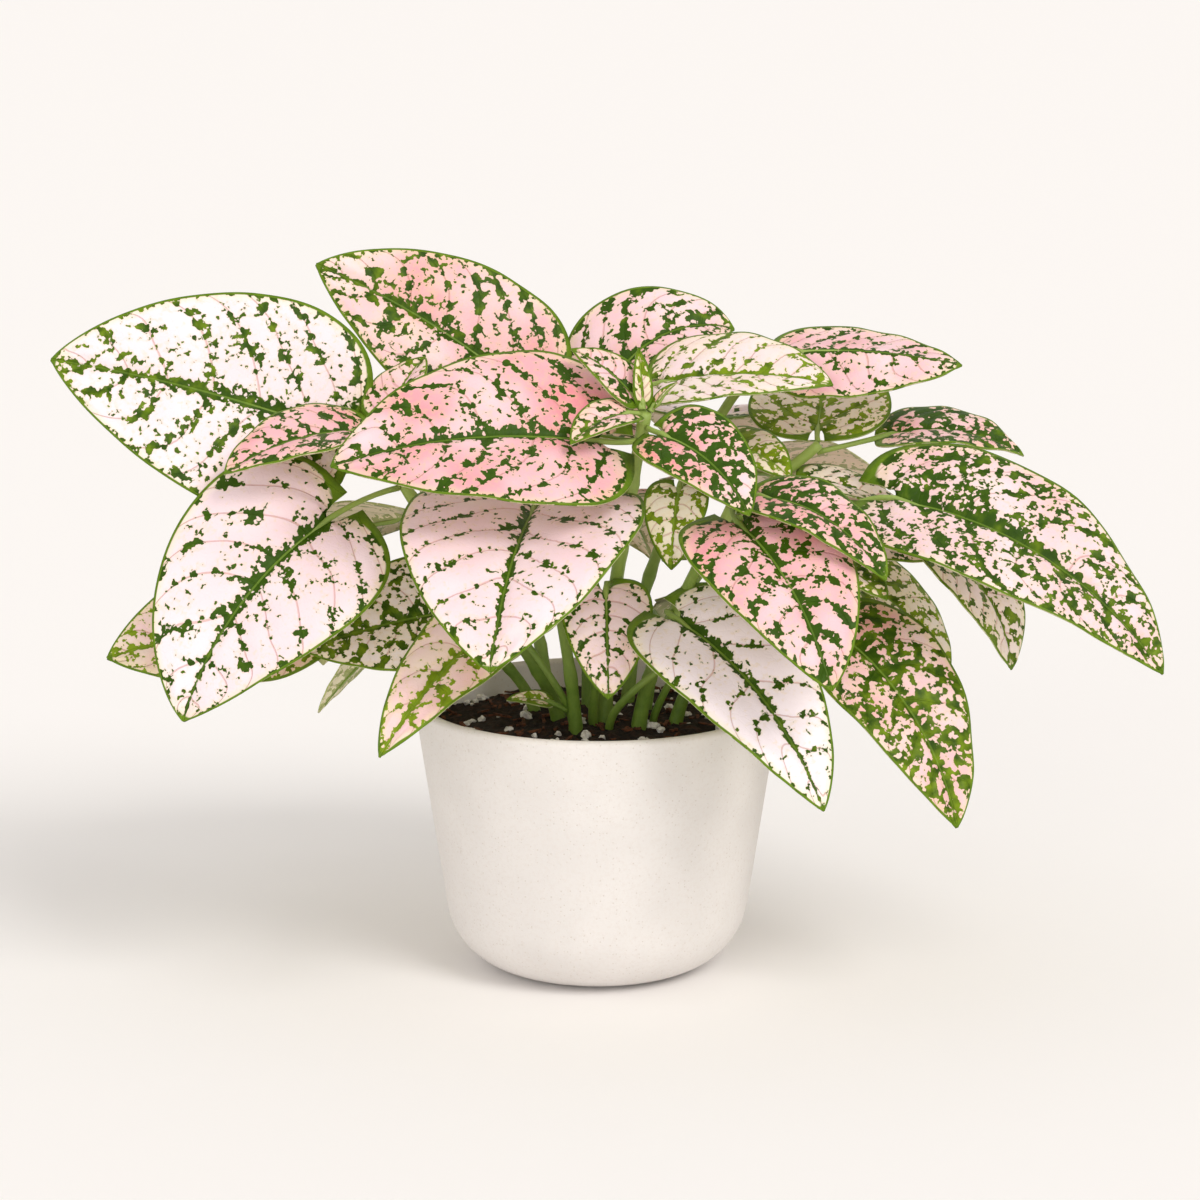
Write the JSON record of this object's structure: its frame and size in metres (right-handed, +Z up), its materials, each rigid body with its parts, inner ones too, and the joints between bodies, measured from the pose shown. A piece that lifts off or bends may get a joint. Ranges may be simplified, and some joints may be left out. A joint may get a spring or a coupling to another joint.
{
  "type": "potted polka dot plant",
  "caption": "Leafy houseplant with pink, cream and green spotted leaves in a plain round ceramic pot, for standing on a table or shelf.",
  "frame": {"origin": "centre of the pot's flat underside", "axes": "+Z up, +X towards the plant's right as seen from its front, -Y towards its front"},
  "size_m": [0.3058, 0.2068, 0.2047],
  "materials": {
    "pot_ware": "matte",
    "potting_soil": "matte",
    "stem_green": "satin",
    "leaf_pink": "satin",
    "leaf_pale": "satin",
    "leaf_green": "satin"
  },
  "bodies": {
    "root": {"pot": "pot_ware", "soil": "potting_soil", "stem_left": "stem_green", "stem_low_left": "stem_green", "stem_front": "stem_green", "stem_top": "stem_green", "stem_center": "stem_green", "stem_right_front": "stem_green", "stem_right": "stem_green", "stem_right_low": "stem_green", "stem_back_left": "stem_green", "stem_back_right": "stem_green", "leaf_far_left": "leaf_pale", "leaf_left_front": "leaf_pale", "leaf_left_inner": "leaf_pink", "leaf_left_young": "leaf_pink", "leaf_left_low": "leaf_green", "leaf_left_under": "leaf_pale", "leaf_left_tucked": "leaf_pale", "leaf_low_left": "leaf_green", "leaf_center_front": "leaf_pale", "leaf_center_low": "leaf_pale", "leaf_low_white": "leaf_pale", "leaf_right_front": "leaf_pink", "leaf_right_shoulder": "leaf_green", "leaf_low_right": "leaf_green", "leaf_right_behind": "leaf_pale", "leaf_right_wedge": "leaf_green", "leaf_far_right": "leaf_green", "leaf_right_hidden": "leaf_pale", "leaf_right_crest": "leaf_green", "leaf_top_right": "leaf_pink", "leaf_top_pale": "leaf_pale", "leaf_top_left": "leaf_pink", "leaf_top_mid": "leaf_pink", "leaf_top_center": "leaf_pink", "leaf_apex_left": "leaf_pink", "leaf_apex_back": "leaf_pink", "leaf_apex_right": "leaf_green", "leaf_mid_oval": "leaf_pink", "leaf_mid_green": "leaf_green", "leaf_right_erect": "leaf_pale", "leaf_right_shade": "leaf_pale", "leaf_right_mid": "leaf_pink", "leaf_center_back": "leaf_pale", "leaf_soil_right": "leaf_green", "leaf_mid_left": "leaf_pink", "leaf_back_left_far": "leaf_pale", "leaf_back_left_near": "leaf_pink", "leaf_back_left_low": "leaf_green", "leaf_back_right_far": "leaf_pink", "leaf_back_right_near": "leaf_pale", "leaf_back_right_low": "leaf_green", "leaf_back_top": "leaf_pink", "leaf_back_mid": "leaf_pink", "leaf_right_back": "leaf_pink", "leaf_left_back": "leaf_pale", "leaf_low_back_left": "leaf_green", "leaf_low_back_right": "leaf_green"}
  },
  "joints": []
}
